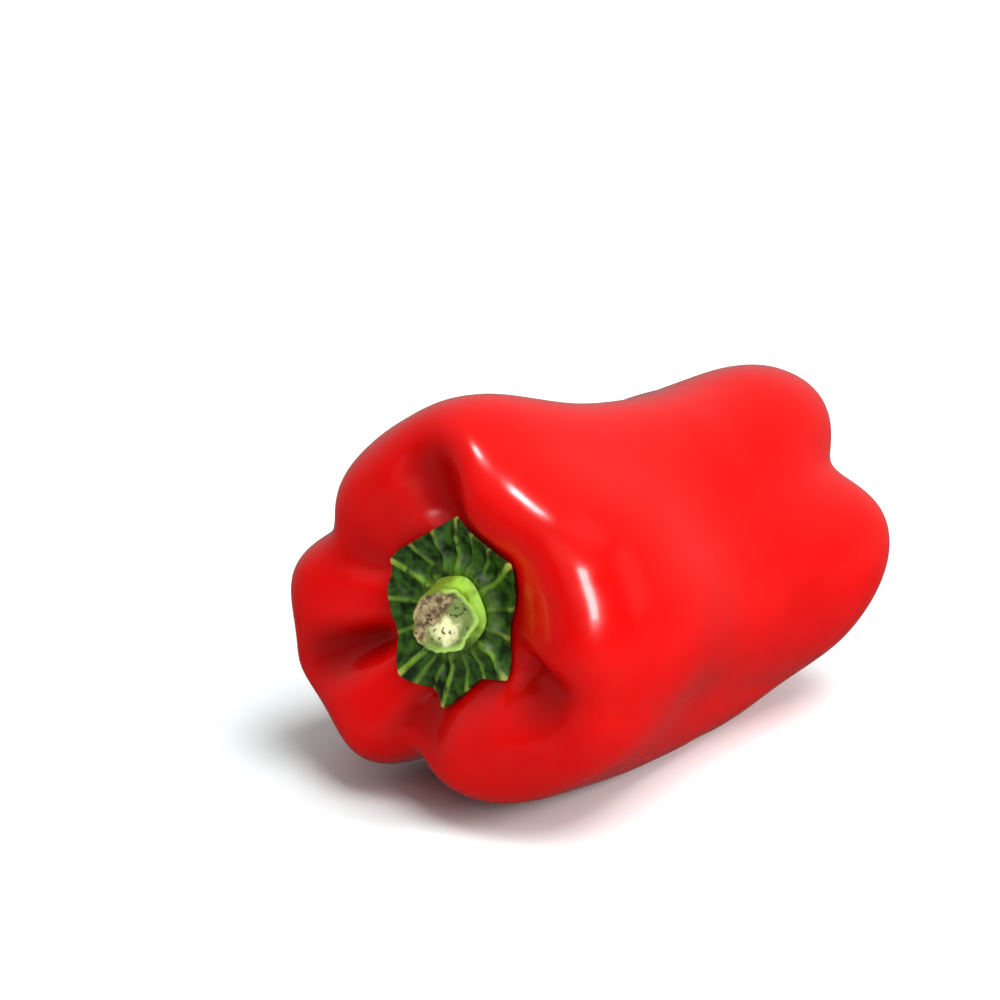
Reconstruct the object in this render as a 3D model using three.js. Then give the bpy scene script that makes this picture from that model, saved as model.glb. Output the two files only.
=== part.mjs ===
// A red bell pepper as picked, lying on its side: the lobed fruit, its pointed calyx and the cut stem.
// Millimetres, +Z up, resting on z = 0. The stem end points to -X and the blossom end to +X.
import * as THREE from "three";

const { degToRad, radToDeg, euclideanModulo, lerp, smoothstep, smootherstep } = THREE.MathUtils;
const TURN = 2 * Math.PI;

// Half outline of the fruit, from the floor of the stem basin over the shoulder to the blossom end.
// Each point is [distance from the axis, place along the axis], and a smooth curve runs near them.
const MERIDIAN = [
  [0, 4.5], [8, 4.5], [14, 3.4], [19, 0.8], [25.5, -1.6], [35, -3.2], [43.7, 9.2], [41, 26.3],
  [34.6, 45.6], [33.5, 67], [35, 87], [32.5, 104], [20.5, 109.5], [9, 105], [0, 102],
];
const FRUIT_LENGTH = 108;

// Stretches of the half outline, as [start, full from, full until, end] counted in its points.
const ZONES = {
  basin: [1.8, 3.4, 4.2, 5.8],
  shoulder: [2, 5.2, 6.4, 8.6],
  body: [6, 8, 9.4, 11.6],
  blossom: [9, 11.2, 12.1, 13.6],
};

// Valleys between the lobes, counted round from the side that faces -Y by way of the top.
// angle: degrees at the stem end and at the blossom end.
// depth: in each zone. Below zero, the lobes beside the valley run together.
// crease: depth of a narrow fold at the shoulder.
// lobe: growth of the lobe after this valley in each zone.
const VALLEYS = [
  {
    angle: [-16, -50],
    depth: { basin: 5, shoulder: 2, body: 1, blossom: 0.5 },
    crease: 0,
    lobe: { shoulder: 0, body: 1.5, blossom: 0.5 },
  },
  {
    angle: [28, 41],
    depth: { basin: 0, shoulder: 1, body: 1, blossom: 8 },
    crease: 0,
    lobe: { shoulder: -5.5, body: 4.7, blossom: -1.5 },
  },
  {
    angle: [104, 112],
    depth: { basin: 5, shoulder: 0.5, body: 1, blossom: 4.5 },
    crease: 0,
    lobe: { shoulder: -1.4, body: -2, blossom: 0 },
  },
  {
    angle: [163, 165],
    depth: { basin: 3, shoulder: 3.6, body: 1, blossom: 1 },
    crease: 1.5,
    lobe: { shoulder: 2.9, body: 0, blossom: 0 },
  },
  {
    angle: [206, 205],
    depth: { basin: 5, shoulder: -4, body: 0, blossom: 5 },
    crease: 0,
    lobe: { shoulder: 1.1, body: 1, blossom: 0 },
  },
  {
    angle: [256, 260],
    depth: { basin: 5, shoulder: 8.6, body: -2, blossom: 3 },
    crease: 1.5,
    lobe: { shoulder: -4.7, body: 3.8, blossom: -4.5 },
  },
];
const VALLEY_SOFTNESS = 0.26;
const CREASE_WIDTH = 9;

// Valleys round the stem are narrowed by a power, and the basin lies beside the axis as far as a station.
const BASIN_SHARPNESS = 1.8;
const BASIN_SHIFT = { y: -2.9, z: 2.4, until: 6 };

// How far the blossom end leans away from a straight axis, and how the fruit lies.
const LEAN = { y: -2, z: 9 };
const PITCH = degToRad(8.6);
const LIFT = 40.9;

// Calyx: tips as [degrees, reach, hollow of the edge up to the next tip].
// Reach and hollow are counted in points of the half outline.
const CALYX_TIPS = [
  [-34, 2.7, 1.3], [43, 3.5, 0.4], [95, 3.11, 0.5], [156, 3.01, 0.5], [232, 2.86, 0.25], [269, 3.31, 1],
];
const CALYX_GAP = 0.3;
const CALYX_RELIEF = 0.7;
const CALYX_COLLAR = { height: 3, from: 8, until: 12 };
const CALYX_BLADE = { inner: 1.2, edge: 0.7, thinning: 4 };
const CALYX_CURL = { height: 0.5, sharpness: 4 };
const CALYX_RIB = { height: 0.9, side: 0.6, width: 0.9, from: 7, until: 10, fade: 8 };
const SIDE_RIBS = [1 / 3, 2 / 3];

// Stem: a curved neck between three points in the fruit's own frame, flared at both ends.
const STEM_PATH = [[0.6, -2.9, 2.4], [-5, -2.9, 2.4], [-9.4, -8.4, 3.6]];
const STEM_RADIUS = { neck: 5.2, base: 7.2, end: 6 };
const STEM_FLARE = { base: 4, end: 3 };
const STEM_RIDGE = { height: 0.25, count: 5 };

// Dried cut face: rings as [share of the stem's radius, depth], from the rim to the middle.
const CUT_FACE = [[0.9, 0], [0.8, 0.45], [0.6, 0.3], [0.3, 0.5]];
const CUT_CENTRE = 0.7;

const FINISH = {
  fruit: { color: 0xe0150f, roughness: 0.22, metalness: 0 },
  calyx: { color: 0x2c5a1c, roughness: 0.55, metalness: 0 },
  stem: { color: 0x8db83c, roughness: 0.6, metalness: 0 },
};

// Facets round and along each piece.
const FRUIT_FACETS = { sides: 88, perPoint: 4 };
const CALYX_FACETS = { sides: 120, top: 9, under: 5 };
const STEM_FACETS = { sides: 72, rings: 16 };

function smooth(t) {
  return smoothstep(t, 0, 1);
}

function bell(t) {
  return Math.exp(-t * t);
}

function zoneWeight([start, fullFrom, fullUntil, end], station) {
  return smoothstep(station, start, fullFrom)
    * (1 - smoothstep(station, fullUntil, end));
}

// Point and slope of the smooth half outline at a station, mirrored across the axis at both ends.
function meridianAt(station) {
  const last = MERIDIAN.length - 1;
  const span = Math.min(Math.floor(station), last - 1);
  const t = station - span;
  const blend = [
    (1 - t) ** 3 / 6,
    (3 * t ** 3 - 6 * t ** 2 + 4) / 6,
    (-3 * t ** 3 + 3 * t ** 2 + 3 * t + 1) / 6,
    t ** 3 / 6,
  ];
  const change = [
    -((1 - t) ** 2) / 2,
    (3 * t ** 2 - 4 * t) / 2,
    (-3 * t ** 2 + 2 * t + 1) / 2,
    t ** 2 / 2,
  ];
  const point = new THREE.Vector2();
  const slope = new THREE.Vector2();
  for (let k = 0; k < blend.length; k += 1) {
    const index = span + k - 1;
    const inside = last - Math.abs(last - Math.abs(index));
    const side = index < 0 || index > last ? -1 : 1;
    const control = new THREE.Vector2(side * MERIDIAN[inside][0], MERIDIAN[inside][1]);
    point.addScaledVector(control, blend[k]);
    slope.addScaledVector(control, change[k]);
  }
  return { point, slope: slope.normalize() };
}

// Relief of the skin in one direction: its height over the half outline, its growth away from the axis
// and its hollow along the axis. Shoulders grow away from the axis, so that the basin's rim keeps round.
function lobesAt(degrees, station, along) {
  const weight = {};
  for (const zone of Object.keys(ZONES)) {
    weight[zone] = zoneWeight(ZONES[zone], station);
  }
  const normalRelief = (amount) => amount.body * weight.body + amount.blossom * weight.blossom;
  const turned = smooth(along / FRUIT_LENGTH);
  const angles = VALLEYS.map(({ angle }) => lerp(angle[0], angle[1], turned));
  let height = 0;
  let growth = 0;
  let hollow = 0;
  VALLEYS.forEach((valley, k) => {
    const next = (k + 1) % VALLEYS.length;
    const width = euclideanModulo(angles[next] - angles[k], 360);
    const past = euclideanModulo(degrees - angles[k], 360);
    const offset = past > 180 ? past - 360 : past;
    growth -= valley.crease * weight.shoulder * bell(offset / CREASE_WIDTH);
    if (past < width) {
      const t = past / width;
      const across = smootherstep(t, 0, 1);
      const swell = Math.sin(Math.PI * t) ** 2;
      const soft = VALLEY_SOFTNESS;
      const sink = 1 - (Math.hypot(Math.sqrt(swell), soft) - soft) / (Math.hypot(1, soft) - soft);
      const { depth, lobe } = valley;
      const { depth: nextDepth } = VALLEYS[next];
      const dip = lerp(normalRelief(depth), normalRelief(nextDepth), across);
      const notch = lerp(depth.shoulder, nextDepth.shoulder, across);
      height += normalRelief(lobe) * swell - dip * sink;
      growth += weight.shoulder * (lobe.shoulder * swell - notch * sink);
      hollow += weight.basin * lerp(depth.basin, nextDepth.basin, across) * (1 - swell) ** BASIN_SHARPNESS;
    }
  });
  return { height, growth, hollow };
}

// A point of the skin, or of a surface that follows its hollows with less relief and stands off it.
function skinPoint(angle, station, relief = 1, standoff = 0) {
  const { point, slope } = meridianAt(station);
  const { height, growth, hollow } = lobesAt(radToDeg(angle), station, point.y);
  const out = height + standoff;
  const radius = point.x + slope.y * out + growth;
  const along = point.y - slope.x * out + relief * hollow;
  const lean = (along / FRUIT_LENGTH) ** 2;
  const aside = 1 - smoothstep(station, 0, BASIN_SHIFT.until);
  return new THREE.Vector3(
    along,
    LEAN.y * lean + BASIN_SHIFT.y * aside - radius * Math.cos(angle),
    LEAN.z * lean + BASIN_SHIFT.z * aside + radius * Math.sin(angle),
  );
}

// A closed body through rings of points, from a first point on the -X side to a last one.
function closedBody(first, rings, last, sides) {
  const points = [first];
  for (const ring of rings) {
    for (let side = 0; side < sides; side += 1) {
      points.push(ring((side / sides) * TURN));
    }
  }
  points.push(last);
  const end = points.length - 1;
  const at = (ring, side) => 1 + ring * sides + (side % sides);
  const faces = [];
  for (let side = 0; side < sides; side += 1) {
    faces.push(0, at(0, side), at(0, side + 1));
    for (let ring = 0; ring < rings.length - 1; ring += 1) {
      faces.push(at(ring, side), at(ring + 1, side), at(ring + 1, side + 1));
      faces.push(at(ring, side), at(ring + 1, side + 1), at(ring, side + 1));
    }
    faces.push(at(rings.length - 1, side), end, at(rings.length - 1, side + 1));
  }
  const geometry = new THREE.BufferGeometry().setFromPoints(points);
  geometry.setIndex(faces);
  geometry.computeVertexNormals();
  return geometry;
}

// The fruit lies on a flat spot: what would reach through the surface it lies on is pressed level.
function makeFruit() {
  const surface = new THREE.Plane(new THREE.Vector3(-Math.sin(PITCH), 0, Math.cos(PITCH)), LIFT);
  const pressed = (angle, station) => {
    const point = skinPoint(angle, station);
    return surface.distanceToPoint(point) < 0 ? surface.projectPoint(point, new THREE.Vector3()) : point;
  };
  const last = MERIDIAN.length - 1;
  const rings = [];
  for (let step = 1; step < last * FRUIT_FACETS.perPoint; step += 1) {
    rings.push((angle) => pressed(angle, step / FRUIT_FACETS.perPoint));
  }
  return closedBody(pressed(0, 0), rings, pressed(0, last), FRUIT_FACETS.sides);
}

// Reach of the calyx edge in one direction, and the offset in degrees to the nearest rib of each kind.
function calyxAt(degrees) {
  for (let k = 0; k < CALYX_TIPS.length; k += 1) {
    const [from, reach, hollow] = CALYX_TIPS[k];
    const [to, nextReach] = CALYX_TIPS[(k + 1) % CALYX_TIPS.length];
    const width = euclideanModulo(to - from, 360);
    const past = euclideanModulo(degrees - from, 360);
    if (past < width) {
      const t = past / width;
      return {
        edge: lerp(reach, nextReach, t) - hollow * Math.sin(Math.PI * t),
        toRib: Math.min(past, width - past),
        toSideRib: Math.min(...SIDE_RIBS.map((place) => Math.abs(t - place) * width)),
      };
    }
  }
  return null;
}

// Thickness of the calyx at a share of its reach: collar round the stem, blade, ribs and thin edge.
function calyxThickness(share, { edge, toRib, toSideRib }) {
  const radius = meridianAt(share * edge).point.x;
  const { height, from, until } = CALYX_COLLAR;
  const collar = 1 - smoothstep(radius, from, until);
  const blade = lerp(CALYX_BLADE.inner, CALYX_BLADE.edge, share ** CALYX_BLADE.thinning);
  const raised = smoothstep(radius, CALYX_RIB.from, CALYX_RIB.until) * (1 - share ** CALYX_RIB.fade);
  const profile = (offset) => bell((radius * degToRad(offset)) / CALYX_RIB.width);
  const rib = Math.max(CALYX_RIB.height * profile(toRib), CALYX_RIB.side * profile(toSideRib));
  return lerp(blade, height, collar) + raised * rib;
}

// The calyx drapes over the basin with a small gap, and its tips curl a little off the fruit.
function makeCalyx() {
  const surface = (angle, share, top) => {
    const star = calyxAt(radToDeg(angle));
    const thickness = top ? calyxThickness(share, star) : 0;
    const standoff = CALYX_GAP + CALYX_CURL.height * share ** CALYX_CURL.sharpness + thickness;
    return skinPoint(angle, share * star.edge, CALYX_RELIEF, standoff);
  };
  const rings = [];
  for (let step = 1; step <= CALYX_FACETS.top; step += 1) {
    rings.push((angle) => surface(angle, step / CALYX_FACETS.top, true));
  }
  for (let step = CALYX_FACETS.under; step >= 1; step -= 1) {
    rings.push((angle) => surface(angle, step / CALYX_FACETS.under, false));
  }
  return closedBody(surface(0, 0, true), rings, surface(0, 0, false), CALYX_FACETS.sides);
}

// The stem sweeps a ridged round section along its path, from the cut face down to the calyx.
function makeStem() {
  const path = new THREE.QuadraticBezierCurve3(...STEM_PATH.map((point) => new THREE.Vector3(...point)));
  const ring = (place, scale, depth) => (angle) => {
    const centre = path.getPoint(place);
    const tangent = path.getTangent(place);
    const across = new THREE.Vector3(0, 0, 1).cross(tangent).normalize();
    const up = tangent.clone().cross(across);
    const { neck, base, end } = STEM_RADIUS;
    const baseFlare = (base - neck) * (1 - place) ** STEM_FLARE.base;
    const endFlare = (end - neck) * place ** STEM_FLARE.end;
    const ridge = STEM_RIDGE.height * Math.cos(STEM_RIDGE.count * angle);
    const radius = (neck + baseFlare + endFlare + ridge) * scale;
    return centre
      .addScaledVector(tangent, -depth)
      .addScaledVector(across, radius * Math.cos(angle))
      .addScaledVector(up, radius * Math.sin(angle));
  };
  const rings = CUT_FACE.toReversed().map(([scale, depth]) => ring(1, scale, depth));
  for (let step = STEM_FACETS.rings; step >= 0; step -= 1) {
    rings.push(ring(step / STEM_FACETS.rings, 1, 0));
  }
  return closedBody(ring(1, 0, CUT_CENTRE)(0), rings, ring(0, 0, 0)(0), STEM_FACETS.sides);
}

function makeMesh(name, geometry) {
  const mesh = new THREE.Mesh(geometry, new THREE.MeshStandardMaterial(FINISH[name]));
  mesh.name = name;
  return mesh;
}

const lying = new THREE.Group();
lying.rotation.y = PITCH;
lying.position.z = LIFT;
lying.add(makeMesh("fruit", makeFruit()));
lying.add(makeMesh("calyx", makeCalyx()));
lying.add(makeMesh("stem", makeStem()));

// The origin is the middle of the resting pepper's footprint.
const pepper = new THREE.Group();
pepper.add(lying);
const footprint = new THREE.Box3().setFromObject(pepper, true).getCenter(new THREE.Vector3());
pepper.position.set(-footprint.x, -footprint.y, 0);

export default pepper;
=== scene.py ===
"""A red bell pepper lying on its side: its skin, calyx and cut stem, on a pale floor in soft light."""
import math

import bpy
import numpy as np
from mathutils import Matrix, Vector, noise


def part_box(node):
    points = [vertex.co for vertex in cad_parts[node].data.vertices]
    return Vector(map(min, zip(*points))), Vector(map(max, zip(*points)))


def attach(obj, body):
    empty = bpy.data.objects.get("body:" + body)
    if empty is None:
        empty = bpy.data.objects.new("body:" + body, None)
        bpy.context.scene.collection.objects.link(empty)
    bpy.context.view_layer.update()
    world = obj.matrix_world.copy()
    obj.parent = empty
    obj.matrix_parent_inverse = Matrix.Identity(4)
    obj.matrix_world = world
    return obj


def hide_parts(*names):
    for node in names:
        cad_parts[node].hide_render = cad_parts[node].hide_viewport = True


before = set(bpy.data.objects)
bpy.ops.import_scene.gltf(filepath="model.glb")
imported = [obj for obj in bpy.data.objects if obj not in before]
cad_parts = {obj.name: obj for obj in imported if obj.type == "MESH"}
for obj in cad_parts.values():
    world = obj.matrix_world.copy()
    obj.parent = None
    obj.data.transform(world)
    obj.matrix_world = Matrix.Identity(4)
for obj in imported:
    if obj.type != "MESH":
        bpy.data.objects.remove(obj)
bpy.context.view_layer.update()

MM = 0.001

# Half outline of the fruit in millimetres: [distance from the axis, place along the axis].
MERIDIAN = np.array([
    [0, 4.5], [8, 4.5], [14, 3.4], [19, 0.8], [25.5, -1.6], [35, -3.2], [43.7, 9.2], [41, 26.3],
    [34.6, 45.6], [33.5, 67], [35, 87], [32.5, 104], [20.5, 109.5], [9, 105], [0, 102],
])
LAST_STATION = len(MERIDIAN) - 1
FRUIT_LENGTH = 108

# Stretches of the half outline, as start, full from, full until and end, counted in its points.
ZONES = {
    "basin": (1.8, 3.4, 4.2, 5.8),
    "shoulder": (2, 5.2, 6.4, 8.6),
    "body": (6, 8, 9.4, 11.6),
    "blossom": (9, 11.2, 12.1, 13.6),
}

# Valleys between the lobes: degrees at the stem end and at the blossom end, depth in each zone,
# depth of a narrow crease at the shoulder, and growth of the lobe after the valley in each zone.
VALLEYS = [
    {
        "angle": (-16, -50),
        "depth": {"basin": 5, "shoulder": 2, "body": 1, "blossom": 0.5},
        "crease": 0,
        "lobe": {"shoulder": 0, "body": 1.5, "blossom": 0.5},
    },
    {
        "angle": (28, 41),
        "depth": {"basin": 0, "shoulder": 1, "body": 1, "blossom": 8},
        "crease": 0,
        "lobe": {"shoulder": -5.5, "body": 4.7, "blossom": -1.5},
    },
    {
        "angle": (104, 112),
        "depth": {"basin": 5, "shoulder": 0.5, "body": 1, "blossom": 4.5},
        "crease": 0,
        "lobe": {"shoulder": -1.4, "body": -2, "blossom": 0},
    },
    {
        "angle": (163, 165),
        "depth": {"basin": 3, "shoulder": 3.6, "body": 1, "blossom": 1},
        "crease": 1.5,
        "lobe": {"shoulder": 2.9, "body": 0, "blossom": 0},
    },
    {
        "angle": (206, 205),
        "depth": {"basin": 5, "shoulder": -4, "body": 0, "blossom": 5},
        "crease": 0,
        "lobe": {"shoulder": 1.1, "body": 1, "blossom": 0},
    },
    {
        "angle": (256, 260),
        "depth": {"basin": 5, "shoulder": 8.6, "body": -2, "blossom": 3},
        "crease": 1.5,
        "lobe": {"shoulder": -4.7, "body": 3.8, "blossom": -4.5},
    },
]
VALLEY_SOFTNESS = 0.26
BASIN_SHARPNESS = 1.8
BASIN_SHIFT = {"y": -2.9, "z": 2.4, "until": 6}
CREASE_WIDTH = 9
LEAN = {"y": -2, "z": 9}
PITCH = math.radians(8.6)
LIFT = 40.9

# Deepest red, painted as shade in the valleys: a share of it in every valley, full at a depth in millimetres,
# and more of it in one valley, by degrees. It grows inwards over a stretch of the half outline, counted in
# its points.
PAINTED_VALLEY_SHADE = {
    "share": 0.56, "full_depth": 5, "deepest": 0.4, "at": 203, "width": 24,
    "inwards_from": 3, "inwards_over": 2.4,
}

# Where the basin's painted shade, a deep red, ends and the scar at the blossom pole begins, in points of the
# half outline.
PAINTED_BASIN_SHADE = {"from": 1.6, "over": 2}
SCAR = {"from": 13.2, "over": 0.8}

# Waves of the skin, as [wavelength, height] in millimetres. They rise outside the calyx and end at the pole.
SKIN_WAVES = [(24, 0.42), (10, 0.12)]
WAVE_FADE = {"from": 2, "over": 2.5, "pole": 1.5}

# Calyx: tips as [degrees, reach, hollow of the edge up to the next tip].
# Reach and hollow are counted in points of the half outline.
CALYX_TIPS = [
    (-34, 2.7, 1.3), (43, 3.5, 0.4), (95, 3.11, 0.5), (156, 3.01, 0.5), (232, 2.86, 0.25), (269, 3.31, 1),
]
CALYX_GAP = 0.3
CALYX_RELIEF = 0.7
CALYX_COLLAR = {"height": 3, "from": 8, "until": 12}
CALYX_BLADE = {"inner": 1.2, "edge": 0.7, "thinning": 4}
CALYX_CURL = {"height": 0.5, "sharpness": 4}
CALYX_RIB = {"height": 0.9, "side": 0.6, "width": 0.9, "from": 7, "until": 10, "fade": 8}
SIDE_RIBS = (1 / 3, 2 / 3)
SIDE_RIB_TONE = 0.6

# Wrinkles of the calyx, as [wavelength, height]. They start clear of the stem and fade at the edge.
CALYX_WAVES = [(4, 0.6), (1.5, 0.35)]
WRINKLE = {"clear_of_stem": 3, "fade": 6}
CALYX_SHARP = 60

# Stem: a curved neck between three points in the fruit's own frame, flared at both ends.
STEM_PATH = np.array([[0.6, -2.9, 2.4], [-5, -2.9, 2.4], [-9.4, -8.4, 3.6]])
STEM_RADIUS = {"neck": 5.2, "base": 7.2, "end": 6}
STEM_FLARE = {"base": 4, "end": 3}
STEM_RIDGE = {"height": 0.25, "count": 5}
STEM_SHARP = 50

# Fibres of the stem, as [wavelength, height], drawn out along it and fading over its first part.
STEM_WAVES = [(2.6, 0.5), (0.9, 0.3)]
STEM_FIBRE = {"stretch": 8, "fade": 0.4}

# Dried cut face: share of the stem's radius and depth, from the middle to the rim, then its roughness, which
# ends near the rim, where its pith lies and which way it dries.
CUT_FACE = [(0, 0.7), (0.3, 0.5), (0.6, 0.3), (0.8, 0.45), (0.9, 0), (1, 0)]
CUT_WAVES = [(2.2, 0.35), (0.8, 0.18)]
CUT_RIM = 0.1
PITH = {"left": -0.1, "low": 0.3}
DRY = {"left": 0.8, "low": -0.6}

FRUIT_FACETS = {"sides": 320, "per_point": 16}
CALYX_FACETS = {"sides": 540, "top": 40, "under": 8}
STEM_FACETS = {"sides": 220, "rings": 60, "cut": 36}


def smooth(t):
    t = np.clip(t, 0, 1)
    return t * t * (3 - 2 * t)


def smoother(t):
    t = np.clip(t, 0, 1)
    return t ** 3 * (t * (6 * t - 15) + 10)


def mix(a, b, share):
    return a + (b - a) * share


def zone_weight(name, station):
    start, full_from, full_until, end = ZONES[name]
    rise = smooth((station - start) / (full_from - start))
    return rise * (1 - smooth((station - full_until) / (end - full_until)))


def meridian_at(station):
    """Point and unit slope of the smooth half outline, mirrored across the axis at both ends."""
    mirrored = np.array([-1, 1])
    control = np.vstack([MERIDIAN[1] * mirrored, MERIDIAN, MERIDIAN[-2] * mirrored])
    span = np.clip(np.floor(station).astype(int), 0, LAST_STATION - 1)
    t = (station - span)[..., None]
    blend = [(1 - t) ** 3, 3 * t ** 3 - 6 * t ** 2 + 4, -3 * t ** 3 + 3 * t ** 2 + 3 * t + 1, t ** 3]
    change = [-(1 - t) ** 2, 3 * t ** 2 - 4 * t, -3 * t ** 2 + 2 * t + 1, t ** 2]
    point = sum(share / 6 * control[span + k] for k, share in enumerate(blend))
    slope = sum(share / 2 * control[span + k] for k, share in enumerate(change))
    return point, slope / np.linalg.norm(slope, axis=-1, keepdims=True)


def lobes_at(degrees, station, along):
    """Height of the skin over the half outline, its growth off the axis, and its hollow along the axis."""
    weight = {zone: zone_weight(zone, station) for zone in ZONES}
    turned = smooth(along / FRUIT_LENGTH)
    angles = [mix(*valley["angle"], turned) for valley in VALLEYS]

    def over_outline(amount):
        return sum(amount[zone] * weight[zone] for zone in ("body", "blossom"))

    height = np.zeros_like(station)
    growth = np.zeros_like(station)
    hollow = np.zeros_like(station)
    for k, valley in enumerate(VALLEYS):
        after = (k + 1) % len(VALLEYS)
        following = VALLEYS[after]
        width = (angles[after] - angles[k]) % 360
        past = (degrees - angles[k]) % 360
        offset = np.where(past > 180, past - 360, past)
        growth -= valley["crease"] * weight["shoulder"] * np.exp(-(offset / CREASE_WIDTH) ** 2)
        inside = past < width
        t = np.clip(past / width, 0, 1)
        across = smoother(t)
        swell = np.sin(np.pi * t) ** 2
        soft = VALLEY_SOFTNESS
        sink = 1 - (np.hypot(np.sqrt(swell), soft) - soft) / (np.hypot(1, soft) - soft)
        dip = mix(over_outline(valley["depth"]), over_outline(following["depth"]), across)
        notch = mix(valley["depth"]["shoulder"], following["depth"]["shoulder"], across)
        sunk = mix(valley["depth"]["basin"], following["depth"]["basin"], across)
        height += np.where(inside, over_outline(valley["lobe"]) * swell - dip * sink, 0)
        grown = valley["lobe"]["shoulder"] * swell - notch * sink
        growth += np.where(inside, weight["shoulder"] * grown, 0)
        hollow += np.where(inside, weight["basin"] * sunk * (1 - swell) ** BASIN_SHARPNESS, 0)
    return height, growth, hollow


def skin_points(angle, station, relief=1, standoff=0):
    """Points of the skin, or of a surface that follows it with less relief and stands off it."""
    angle, station = np.broadcast_arrays(np.asarray(angle, float), np.asarray(station, float))
    point, slope = meridian_at(station)
    height, growth, hollow = lobes_at(np.degrees(angle), station, point[..., 1])
    out = height + standoff
    radius = point[..., 0] + slope[..., 1] * out + growth
    along = point[..., 1] - slope[..., 0] * out + relief * hollow
    lean = (along / FRUIT_LENGTH) ** 2
    aside = 1 - smooth(station / BASIN_SHIFT["until"])
    y = LEAN["y"] * lean + BASIN_SHIFT["y"] * aside - radius * np.cos(angle)
    z = LEAN["z"] * lean + BASIN_SHIFT["z"] * aside + radius * np.sin(angle)
    return np.stack([along, y, z], -1)


def laid(points):
    """Points of the fruit's own frame, turned as the fruit lies."""
    x, y, z = np.moveaxis(points, -1, 0)
    turned_x = x * math.cos(PITCH) + z * math.sin(PITCH)
    turned_z = z * math.cos(PITCH) - x * math.sin(PITCH) + LIFT
    return np.stack([turned_x, y, turned_z], -1)


def waves(points, layers):
    """Seedless smooth noise at points, as layers of [wavelength, height]."""
    flat = points.reshape(-1, 3)
    total = np.zeros(len(flat))
    for wavelength, height in layers:
        total += height * np.array([noise.noise(Vector(p / wavelength)) for p in flat])
    return total.reshape(points.shape[:-1])


def angles_round(sides):
    return np.linspace(0, 2 * np.pi, sides, endpoint=False)


def footprint_shift():
    """From the fruit's own frame, laid, to the shared frame: the CAD fruit's box says where it lies."""
    angle = angles_round(FRUIT_FACETS["sides"])[None, :]
    station = np.linspace(0, LAST_STATION, LAST_STATION * FRUIT_FACETS["per_point"])[:, None]
    points = laid(skin_points(angle, station)).reshape(-1, 3)
    middle = (points.min(0) + points.max(0)) / 2
    low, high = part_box("fruit")
    shift = np.array((low + high) / 2) / MM - middle
    shift[2] = 0
    return shift


SHIFT = footprint_shift()


def placed(points):
    return (laid(points) + SHIFT) * MM


def closed_piece(name, first, rings, last, attributes, sharp=180):
    """A closed piece through rings of points, from a first point on the -X side to a last one."""
    count, sides = rings.shape[:2]
    points = np.vstack([first[None], rings.reshape(-1, 3), last[None]])
    here = 1 + np.arange(count * sides).reshape(count, sides)
    beside = np.roll(here, -1, axis=1)
    quads = np.stack([here[:-1], here[1:], beside[1:], beside[:-1]], -1).reshape(-1, 4)
    opening = np.stack([np.zeros(sides, int), here[0], beside[0]], -1)
    closing = np.stack([here[-1], np.full(sides, len(points) - 1), beside[-1]], -1)
    mesh = bpy.data.meshes.new(name)
    mesh.from_pydata(points.tolist(), [], [*opening.tolist(), *quads.tolist(), *closing.tolist()])
    for key, values in attributes.items():
        column = np.concatenate([values[:1, :1].ravel(), values.ravel(), values[-1:, :1].ravel()])
        mesh.attributes.new(key, "FLOAT", "POINT").data.foreach_set("value", column.astype(np.float32))
    mesh.polygons.foreach_set("use_smooth", np.ones(len(mesh.polygons), bool))
    mesh.set_sharp_from_angle(angle=math.radians(sharp))
    piece = bpy.data.objects.new(name, mesh)
    bpy.context.scene.collection.objects.link(piece)
    return piece


def make_fruit():
    angle = angles_round(FRUIT_FACETS["sides"])[None, :]
    steps = LAST_STATION * FRUIT_FACETS["per_point"]
    station = (np.arange(1, steps) / FRUIT_FACETS["per_point"])[:, None]
    rise = smooth((station - WAVE_FADE["from"]) / WAVE_FADE["over"])
    fade = rise * smooth((LAST_STATION - station) / WAVE_FADE["pole"])
    ripple = fade * waves(skin_points(angle, station), SKIN_WAVES)
    rings = placed(skin_points(angle, station, standoff=ripple))
    first = placed(skin_points(0, 0))
    last = placed(skin_points(0, LAST_STATION))
    rings[..., 2] = np.maximum(rings[..., 2], 0)
    spread_angle, spread_station = np.broadcast_arrays(angle, station)
    point, _ = meridian_at(spread_station)
    _, _, hollow = lobes_at(np.degrees(spread_angle), spread_station, point[..., 1])
    from_deepest = (np.degrees(spread_angle) - PAINTED_VALLEY_SHADE["at"]) / PAINTED_VALLEY_SHADE["width"]
    inwards = 1 - smooth((spread_station - PAINTED_VALLEY_SHADE["inwards_from"]) / PAINTED_VALLEY_SHADE["inwards_over"])
    painted_shade_share = PAINTED_VALLEY_SHADE["share"] + PAINTED_VALLEY_SHADE["deepest"] * inwards * np.exp(-from_deepest ** 2)
    # The valley and basin attributes say how much painted shade, a darker red, each point of the skin gets.
    attributes = {
        "valley": smooth(hollow / PAINTED_VALLEY_SHADE["full_depth"]) * painted_shade_share,
        "basin": (1 - smooth((spread_station - PAINTED_BASIN_SHADE["from"]) / PAINTED_BASIN_SHADE["over"])) * painted_shade_share,
        "blossom": smooth((spread_station - SCAR["from"]) / SCAR["over"]),
    }
    return closed_piece("pepper_skin", first, rings, last, attributes)


def calyx_at(degrees):
    """Reach of the calyx edge, and the offsets in degrees to the nearest main rib and side rib."""
    edge = np.zeros_like(degrees)
    to_rib = np.zeros_like(degrees)
    to_side_rib = np.zeros_like(degrees)
    for k, (start, reach, hollow) in enumerate(CALYX_TIPS):
        end, next_reach, _ = CALYX_TIPS[(k + 1) % len(CALYX_TIPS)]
        width = (end - start) % 360
        past = (degrees - start) % 360
        inside = past < width
        t = past / width
        side = np.min([np.abs(t - place) * width for place in SIDE_RIBS], axis=0)
        edge = np.where(inside, mix(reach, next_reach, t) - hollow * np.sin(np.pi * t), edge)
        to_rib = np.where(inside, np.minimum(past, width - past), to_rib)
        to_side_rib = np.where(inside, side, to_side_rib)
    return edge, to_rib, to_side_rib


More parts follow.
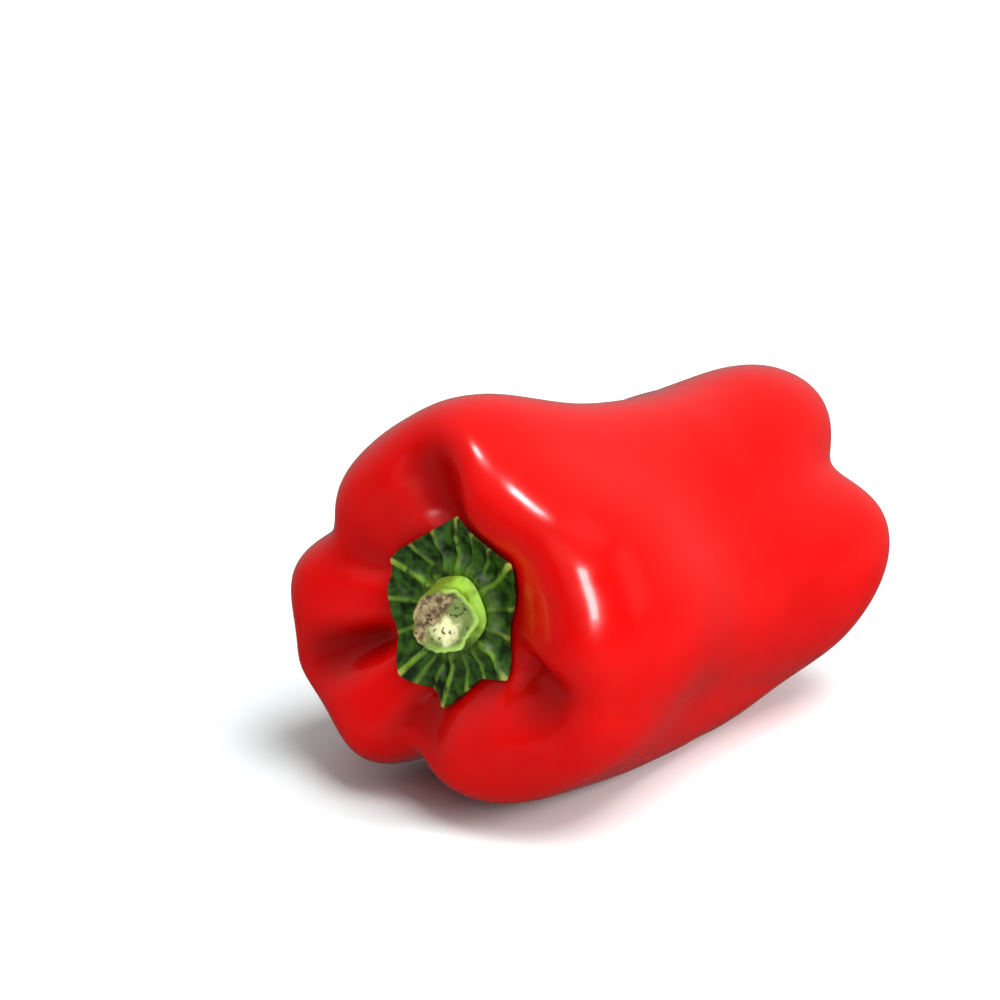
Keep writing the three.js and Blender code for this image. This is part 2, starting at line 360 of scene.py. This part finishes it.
def make_calyx():
    angle = angles_round(CALYX_FACETS["sides"])[None, :]
    edge, to_rib, to_side_rib = calyx_at(np.degrees(angle))

    def layer(share, top):
        radius = meridian_at(share * edge)[0][..., 0]
        collar = 1 - smooth((radius - CALYX_COLLAR["from"]) / (CALYX_COLLAR["until"] - CALYX_COLLAR["from"]))
        blade = mix(CALYX_BLADE["inner"], CALYX_BLADE["edge"], share ** CALYX_BLADE["thinning"])
        raised = smooth((radius - CALYX_RIB["from"]) / (CALYX_RIB["until"] - CALYX_RIB["from"]))
        raised = raised * (1 - share ** CALYX_RIB["fade"])
        main = np.exp(-(radius * np.radians(to_rib) / CALYX_RIB["width"]) ** 2)
        beside = np.exp(-(radius * np.radians(to_side_rib) / CALYX_RIB["width"]) ** 2)
        rib = np.maximum(CALYX_RIB["height"] * main, CALYX_RIB["side"] * beside)
        clear_of_stem = smooth((radius - STEM_RADIUS["base"]) / WRINKLE["clear_of_stem"])
        wrinkle = waves(skin_points(angle, share * edge), CALYX_WAVES) * clear_of_stem
        wrinkle = wrinkle * (1 - share ** WRINKLE["fade"])
        thickness = mix(blade, CALYX_COLLAR["height"], collar) + raised * rib + wrinkle
        curl = CALYX_CURL["height"] * share ** CALYX_CURL["sharpness"]
        standoff = CALYX_GAP + curl + (thickness if top else 0)
        points = placed(skin_points(angle, share * edge, CALYX_RELIEF, standoff))
        share = np.broadcast_to(share, radius.shape)
        return points, {"rib": np.maximum(main, SIDE_RIB_TONE * beside), "collar": collar, "share": share}

    top = (np.arange(1, CALYX_FACETS["top"] + 1) / CALYX_FACETS["top"])[:, None]
    under = (np.arange(CALYX_FACETS["under"], 0, -1) / CALYX_FACETS["under"])[:, None]
    top_points, top_values = layer(top, True)
    under_points, under_values = layer(under, False)
    attributes = {key: np.vstack([top_values[key], under_values[key]]) for key in top_values}
    first = placed(skin_points(0, 0, CALYX_RELIEF, CALYX_GAP + CALYX_COLLAR["height"]))
    last = placed(skin_points(0, 0, CALYX_RELIEF, CALYX_GAP))
    rings = np.vstack([top_points, under_points])
    return closed_piece("pepper_calyx", first, rings, last, attributes, CALYX_SHARP)


def stem_frame(place):
    """Centre, tangent and two directions across the stem at places along its path."""
    start, bend, end = STEM_PATH
    place = place[..., None]
    centre = (1 - place) ** 2 * start + 2 * place * (1 - place) * bend + place ** 2 * end
    tangent = (1 - place) * (bend - start) + place * (end - bend)
    tangent = tangent / np.linalg.norm(tangent, axis=-1, keepdims=True)
    across = np.cross([0, 0, 1], tangent)
    across = across / np.linalg.norm(across, axis=-1, keepdims=True)
    return centre, tangent, across, np.cross(tangent, across)


def make_stem():
    angle = angles_round(STEM_FACETS["sides"])[None, :]

    def layer(place, share, depth):
        centre, tangent, across, up = stem_frame(np.broadcast_to(place, np.broadcast(place, angle).shape))
        neck = STEM_RADIUS["neck"]
        base_flare = (STEM_RADIUS["base"] - neck) * (1 - place) ** STEM_FLARE["base"]
        end_flare = (STEM_RADIUS["end"] - neck) * place ** STEM_FLARE["end"]
        ridge = STEM_RIDGE["height"] * np.cos(STEM_RIDGE["count"] * angle)
        lengthwise = place / STEM_FIBRE["stretch"]
        around = neck * np.stack(np.broadcast_arrays(np.cos(angle), np.sin(angle), lengthwise), -1)
        fibre = waves(around, STEM_WAVES) * smooth(place / STEM_FIBRE["fade"])
        radius = ((neck + base_flare + end_flare + ridge + fibre) * share)[..., None]
        circle = across * np.cos(angle)[..., None] + up * np.sin(angle)[..., None]
        return centre - tangent * depth[..., None] + circle * radius

    cut_share = (np.arange(1, STEM_FACETS["cut"]) / STEM_FACETS["cut"])[:, None]
    cut_depth = np.interp(cut_share, *zip(*CUT_FACE)) * np.ones_like(angle)
    cut = layer(np.ones_like(cut_share), cut_share, cut_depth)
    rough = waves(cut, CUT_WAVES) * smooth((1 - cut_share) / CUT_RIM)
    cut = layer(np.ones_like(cut_share), cut_share, cut_depth + rough)
    place = np.linspace(1, 0, STEM_FACETS["rings"])[:, None]
    side = layer(place, np.ones_like(place), np.zeros_like(place * angle))
    ones = np.ones_like(angle)
    share = np.vstack([ones * cut_share, ones * np.ones_like(place)])
    left = -np.cos(angle) * share
    low = -np.sin(angle) * share
    attributes = {
        "cut": np.vstack([ones * np.ones_like(cut_share), ones * np.zeros_like(place)]),
        "share": share,
        "left": left,
        "low": low,
        "dry": DRY["left"] * left + DRY["low"] * low,
        "from_pith": np.hypot(left - PITH["left"], low - PITH["low"]),
    }
    end, base = stem_frame(np.array(1.0)), stem_frame(np.array(0.0))
    first = placed(end[0] - end[1] * CUT_FACE[0][1])
    last = placed(base[0])
    rings = placed(np.vstack([cut, side]))
    return closed_piece("pepper_stem", first, rings, last, attributes, STEM_SHARP)


def rgb(red, green, blue):
    """A colour as seen, 0 to 255, as the linear values that shaders take."""
    seen = np.array([red, green, blue]) / 255
    linear = np.where(seen <= 0.04045, seen / 12.92, ((seen + 0.055) / 1.055) ** 2.4)
    return (*linear.tolist(), 1)


SKIN_COLOURS = {
    "red": rgb(172, 3, 2), "bright": rgb(182, 5, 4), "painted_shade": rgb(90, 0, 0), "scar": rgb(120, 70, 40),
}
CALYX_COLOURS = {
    "shade": rgb(12, 29, 2), "leaf": rgb(40, 74, 8), "collar": rgb(69, 101, 18), "rib": rgb(97, 134, 30),
    "patch": rgb(12, 20, 4), "tip": rgb(148, 144, 65),
}
STEM_COLOURS = {
    # The "low" colour is painted shade on the stem's underside.
    "green": rgb(112, 144, 33), "lime": rgb(149, 194, 62), "olive": rgb(98, 108, 26), "low": rgb(54, 69, 26),
    "pith": rgb(190, 189, 144), "face": rgb(92, 108, 53), "rim": rgb(128, 161, 73),
    "dark_dry": rgb(69, 54, 33), "pale_dry": rgb(131, 116, 84), "speck": rgb(41, 34, 18),
}
FLOOR_COLOURS = {"pale": rgb(240, 250, 250), "paler": rgb(243, 252, 252)}


class Shader:
    """One node material around a Principled shader."""

    def __init__(self, name, **values):
        self.material = bpy.data.materials.new(name)
        self.material.use_nodes = True
        self.tree = self.material.node_tree
        self.principled = self.tree.nodes["Principled BSDF"]
        for key, value in values.items():
            self.principled.inputs[key.replace("_", " ")].default_value = value

    def node(self, kind, **settings):
        made = self.tree.nodes.new("ShaderNode" + kind)
        for key, value in settings.items():
            setattr(made, key, value)
        return made

    def plug(self, value, socket):
        if isinstance(value, bpy.types.NodeSocket):
            self.tree.links.new(value, socket)
        else:
            socket.default_value = value

    def place(self):
        return self.node("TexCoord").outputs["Object"]

    def attribute(self, name):
        return self.node("Attribute", attribute_name=name).outputs["Fac"]

    def noise(self, wavelength, detail=3.0, vector=None):
        made = self.node("TexNoise")
        self.plug(vector or self.place(), made.inputs["Vector"])
        made.inputs["Scale"].default_value = 1 / (wavelength * MM)
        made.inputs["Detail"].default_value = detail
        return made.outputs["Fac"]

    def spread(self, value, low, high, to_low=0.0, to_high=1.0):
        made = self.node("MapRange", interpolation_type="SMOOTHSTEP")
        for socket, given in zip(made.inputs, (value, low, high, to_low, to_high)):
            self.plug(given, socket)
        return made.outputs["Result"]

    def maths(self, operation, a, b):
        made = self.node("Math", operation=operation)
        self.plug(a, made.inputs[0])
        self.plug(b, made.inputs[1])
        return made.outputs[0]

    def blend(self, share, a, b):
        made = self.node("Mix", data_type="RGBA")
        self.plug(share, made.inputs["Factor"])
        colours = [socket for socket in made.inputs if socket.type == "RGBA"]
        self.plug(a, colours[0])
        self.plug(b, colours[1])
        return next(socket for socket in made.outputs if socket.type == "RGBA")

    def bump(self, height, distance, strength=1.0):
        made = self.node("Bump")
        made.inputs["Strength"].default_value = strength
        made.inputs["Distance"].default_value = distance * MM
        self.plug(height, made.inputs["Height"])
        self.plug(made.outputs["Normal"], self.principled.inputs["Normal"])

    def wear(self, colour, roughness):
        self.plug(colour, self.principled.inputs["Base Color"])
        self.plug(roughness, self.principled.inputs["Roughness"])
        return self.material


def skin_material():
    """Waxy red skin: deeper red painted as shade in the valleys and the basin, faint blotches, a brown scar
    at the pole.
    """
    shader = Shader(
        "pepper_skin", Subsurface_Weight=0.2, Subsurface_Scale=4 * MM, Subsurface_Radius=(1, 0.12, 0.08),
        Specular_IOR_Level=0.2, Coat_Weight=0.1, Coat_Roughness=0.05,
    )
    blotch = shader.spread(shader.noise(22), 0.3, 0.7)
    colour = shader.blend(blotch, SKIN_COLOURS["red"], SKIN_COLOURS["bright"])
    # Painted shade: the valleys and the basin are darkened towards a deep red.
    painted_shade = shader.maths("MAXIMUM", shader.attribute("valley"), shader.attribute("basin"))
    colour = shader.blend(painted_shade, colour, SKIN_COLOURS["painted_shade"])
    colour = shader.blend(shader.attribute("blossom"), colour, SKIN_COLOURS["scar"])
    roughness = shader.spread(shader.noise(6), 0.3, 0.7, 0.16, 0.24)
    shader.bump(shader.noise(3, 1.0), 0.03, 0.5)
    return shader.wear(colour, roughness)


def calyx_material():
    """Dark green leaf with darker patches, light ribs that fade in places, and pale dry tips."""
    shader = Shader("pepper_calyx", Specular_IOR_Level=0.25, Subsurface_Weight=0.05, Subsurface_Scale=1 * MM)
    mottle = shader.spread(shader.noise(2.2), 0.35, 0.65)
    leaf = shader.blend(mottle, CALYX_COLOURS["shade"], CALYX_COLOURS["leaf"])
    collar = shader.maths("MULTIPLY", shader.attribute("collar"), 0.6)
    colour = shader.blend(collar, leaf, CALYX_COLOURS["collar"])
    rib = shader.spread(shader.attribute("rib"), 0.3, 0.9)
    faded = shader.spread(shader.noise(5, 2.0), 0.35, 0.6, 0.35, 1)
    colour = shader.blend(shader.maths("MULTIPLY", rib, faded), colour, CALYX_COLOURS["rib"])
    patch = shader.spread(shader.noise(3.2, 4.0), 0.55, 0.68, 0, 0.8)
    colour = shader.blend(patch, colour, CALYX_COLOURS["patch"])
    tip = shader.maths("MULTIPLY", shader.spread(shader.attribute("share"), 0.88, 1.0), rib)
    colour = shader.blend(shader.maths("MULTIPLY", tip, 0.8), colour, CALYX_COLOURS["tip"])
    roughness = shader.spread(shader.noise(1.5), 0.3, 0.7, 0.42, 0.6)
    shader.bump(shader.noise(0.7, 5.0), 0.12, 0.8)
    return shader.wear(colour, roughness)


def stem_material():
    """Lime skin, olive on one side and painted darker underneath as shade, and a dried cut face: brown on
    that side, with pale pith low down.
    """
    shader = Shader("pepper_stem", Specular_IOR_Level=0.25, Subsurface_Weight=0.08, Subsurface_Scale=1.5 * MM)
    wander = shader.maths("MULTIPLY", shader.noise(2.4, 4.0), 0.8)
    left = shader.maths("ADD", shader.attribute("left"), wander)
    low = shader.maths("ADD", shader.attribute("low"), wander)
    mottle = shader.spread(shader.noise(3), 0.35, 0.65)
    skin = shader.blend(mottle, STEM_COLOURS["green"], STEM_COLOURS["lime"])
    skin = shader.blend(shader.spread(left, 0.2, 0.9, 0, 0.85), skin, STEM_COLOURS["olive"])
    # Painted shade: the underside of the stem is darkened towards the low colour.
    skin = shader.blend(shader.spread(low, 0.7, 1.3, 0, 0.8), skin, STEM_COLOURS["low"])
    pith = shader.spread(shader.maths("ADD", shader.attribute("from_pith"), wander), 0.55, 0.95)
    face = shader.blend(pith, STEM_COLOURS["pith"], STEM_COLOURS["face"])
    grain = shader.spread(shader.noise(1.1, 4.0), 0.35, 0.65)
    dry = shader.blend(grain, STEM_COLOURS["dark_dry"], STEM_COLOURS["pale_dry"])
    dried = shader.maths("ADD", shader.attribute("dry"), wander)
    face = shader.blend(shader.spread(dried, 0.4, 0.65), face, dry)
    speck = shader.spread(shader.noise(1.0, 2.0), 0.6, 0.66, 0, 0.85)
    face = shader.blend(speck, face, STEM_COLOURS["speck"])
    outermost = shader.spread(shader.attribute("share"), 0.8, 0.95)
    rim = shader.maths("MULTIPLY", outermost, shader.spread(left, 0.9, 0.3))
    face = shader.blend(rim, face, STEM_COLOURS["rim"])
    colour = shader.blend(shader.attribute("cut"), skin, face)
    roughness = shader.spread(shader.attribute("cut"), 0, 1, 0.45, 0.85)
    shader.bump(shader.noise(0.6, 5.0), 0.2, 0.8)
    return shader.wear(colour, roughness)


def floor_material():
    shader = Shader("floor")
    colour = shader.blend(shader.noise(60), FLOOR_COLOURS["pale"], FLOOR_COLOURS["paler"])
    return shader.wear(colour, 0.9)


PIECES = [
    (make_fruit, skin_material, "fruit", "red_skin"),
    (make_calyx, calyx_material, "calyx", "calyx_green"),
    (make_stem, stem_material, "stem", "stem_green"),
]
pepper = bpy.data.collections.new("pepper")
for make, material, node, slot in PIECES:
    piece = make()
    pepper.objects.link(piece)
    piece.data.materials.append(material())
    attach(piece, "root")
    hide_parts(node)

# The camera stands where the photograph's did: angles in degrees, sizes in millimetres before the shift.
CAMERA = {"azimuth": -51.19, "elevation": 21.52, "distance": 681, "target": np.array([45, 0, 35.4])}
IMAGE_SIZE = 1000
FOCAL_PIXELS = 3397
TARGET_PIXEL = (589.94, 580.68)
SENSOR_WIDTH = 36

# Metres: half the floor's width, how far the lamps stand, and the point that they look at.
FLOOR_HALF = 3
LAMP_DISTANCE = 2
LAMP_TARGET = Vector((0, 0, 0.04))

# The surroundings are dim below and towards the camera: how much the camera's side counts, then the heights,
# as seen from the pepper, at which they are dimmest and brightest.
WORLD = {"camera_side": -0.5, "dimmest": -0.2, "brightest": 1}


def camera_axes():
    azimuth = math.radians(CAMERA["azimuth"])
    elevation = math.radians(CAMERA["elevation"])
    back = Vector((
        math.sin(azimuth) * math.cos(elevation),
        -math.cos(azimuth) * math.cos(elevation),
        math.sin(elevation),
    ))
    right = Vector((0, 0, 1)).cross(back).normalized()
    return right, back.cross(right), back


def make_camera():
    right, up, back = camera_axes()
    data = bpy.data.cameras.new("camera")
    data.sensor_width = SENSOR_WIDTH
    data.lens = FOCAL_PIXELS / IMAGE_SIZE * data.sensor_width
    camera = bpy.data.objects.new("camera", data)
    bpy.context.scene.collection.objects.link(camera)
    target = Vector((CAMERA["target"] + SHIFT) * MM)
    camera.location = target + back * CAMERA["distance"] * MM
    aside = (IMAGE_SIZE / 2 - TARGET_PIXEL[0]) / FOCAL_PIXELS
    above = (TARGET_PIXEL[1] - IMAGE_SIZE / 2) / FOCAL_PIXELS
    look = (right * aside + up * above - back).normalized()
    level = look.cross(up).normalized()
    turn = Matrix((level, level.cross(look), -look)).transposed()
    camera.rotation_euler = turn.to_euler()
    bpy.context.scene.camera = camera


def make_floor():
    mesh = bpy.data.meshes.new("floor")
    corners = [(x * FLOOR_HALF, y * FLOOR_HALF, 0) for x, y in ((-1, -1), (1, -1), (1, 1), (-1, 1))]
    mesh.from_pydata(corners, [], [(0, 1, 2, 3)])
    mesh.materials.append(floor_material())
    floor = bpy.data.objects.new("floor", mesh)
    floor.visible_glossy = False
    bpy.context.scene.collection.objects.link(floor)


def soft_light(name, aside, above, towards, size, power, mirrored):
    """A square lamp that looks at the pepper, placed by the camera's directions and by height.
    A mirrored one shows only as a window in the gloss, and the others light surfaces and show in no gloss."""
    right, _, back = camera_axes()
    level_back = Vector((back.x, back.y, 0)).normalized()
    direction = (right * aside + Vector((0, 0, 1)) * above + level_back * towards).normalized()
    data = bpy.data.lights.new(name, "AREA")
    data.size = size
    data.energy = power
    lamp = bpy.data.objects.new(name, data)
    lamp.location = LAMP_TARGET + direction * LAMP_DISTANCE
    lamp.rotation_euler = (-direction).to_track_quat("-Z", "Y").to_euler()
    lamp.visible_glossy = mirrored
    lamp.visible_diffuse = not mirrored
    bpy.context.scene.collection.objects.link(lamp)
    return lamp


def make_world(dim, bright):
    """Pale surroundings, dimmer below and on the camera's side than above and behind the pepper."""
    world = bpy.data.worlds.new("studio")
    bpy.context.scene.world = world
    world.use_nodes = True
    tree = world.node_tree
    _, _, back = camera_axes()
    facing = tree.nodes.new("ShaderNodeVectorMath")
    facing.operation = "DOT_PRODUCT"
    side = WORLD["camera_side"]
    facing.inputs[1].default_value = (side * back.x, side * back.y, 1)
    tree.links.new(tree.nodes.new("ShaderNodeTexCoord").outputs["Generated"], facing.inputs[0])
    strength = tree.nodes.new("ShaderNodeMapRange")
    strength.inputs["From Min"].default_value = WORLD["dimmest"]
    strength.inputs["From Max"].default_value = WORLD["brightest"]
    strength.inputs["To Min"].default_value = dim
    strength.inputs["To Max"].default_value = bright
    tree.links.new(facing.outputs["Value"], strength.inputs["Value"])
    tree.links.new(strength.outputs["Result"], tree.nodes["Background"].inputs["Strength"])
    tree.nodes["Background"].inputs["Color"].default_value = (1, 1, 1, 1)


make_camera()
make_floor()
make_world(dim=0.06, bright=0.55)
soft_light("front window", aside=0.19, above=0.42, towards=0.89, size=0.44, power=34, mirrored=True)
soft_light("roof window", aside=-0.32, above=0.94, towards=0.12, size=0.24, power=15, mirrored=True)
soft_light("key", aside=0.3, above=1.0, towards=0.3, size=1.2, power=46, mirrored=False)
soft_light("side", aside=0.95, above=0.4, towards=0.25, size=1.0, power=38, mirrored=False)
fill = soft_light("fill", aside=-0.3, above=0.55, towards=0.78, size=1.4, power=32, mirrored=False)
# The fill lights the pepper alone, so that the floor under the stem end stays dark.
fill.light_linking.receiver_collection = pepper
bpy.context.scene.view_settings.view_transform = "Standard"
